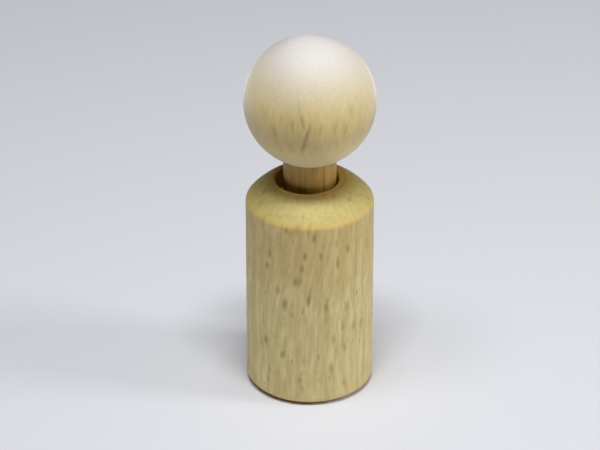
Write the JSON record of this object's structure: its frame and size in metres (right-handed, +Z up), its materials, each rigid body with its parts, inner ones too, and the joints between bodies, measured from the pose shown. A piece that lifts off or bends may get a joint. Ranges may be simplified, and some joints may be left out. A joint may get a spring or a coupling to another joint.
{
  "type": "peg doll",
  "caption": "Plain turned wooden peg doll: a cylindrical body with a sloping shoulder, a short neck peg standing in it and a ball head that turns and lifts out.",
  "frame": {"origin": "centre of the flat face that the doll stands on", "axes": "+Z up along the turning axis; -Y is the side that faces the camera in the picture"},
  "size_m": [0.0308, 0.0308, 0.0893],
  "materials": {
    "body_wood": "beech, turned and sanded, unvarnished, fine ray flecks",
    "neck_wood": "redder dowel wood, sanded, grain along the peg",
    "head_wood": "beech, turned and sanded, unvarnished, fine ray flecks"
  },
  "bodies": {
    "body": {"body": "body_wood"},
    "neck": {"neck_dowel": "neck_wood"},
    "head": {"head_ball": "head_wood"}
  },
  "joints": [
    {"name": "head_lift", "type": "slide", "parent": "body", "child": "neck", "axis": [0, 0, 1], "range_m": [0, 0.02]},
    {"name": "head_turn", "type": "hinge", "parent": "neck", "child": "head", "pos_m": [0, 0, 0.0715], "axis": [0, 0, 1], "continuous": true}
  ]
}
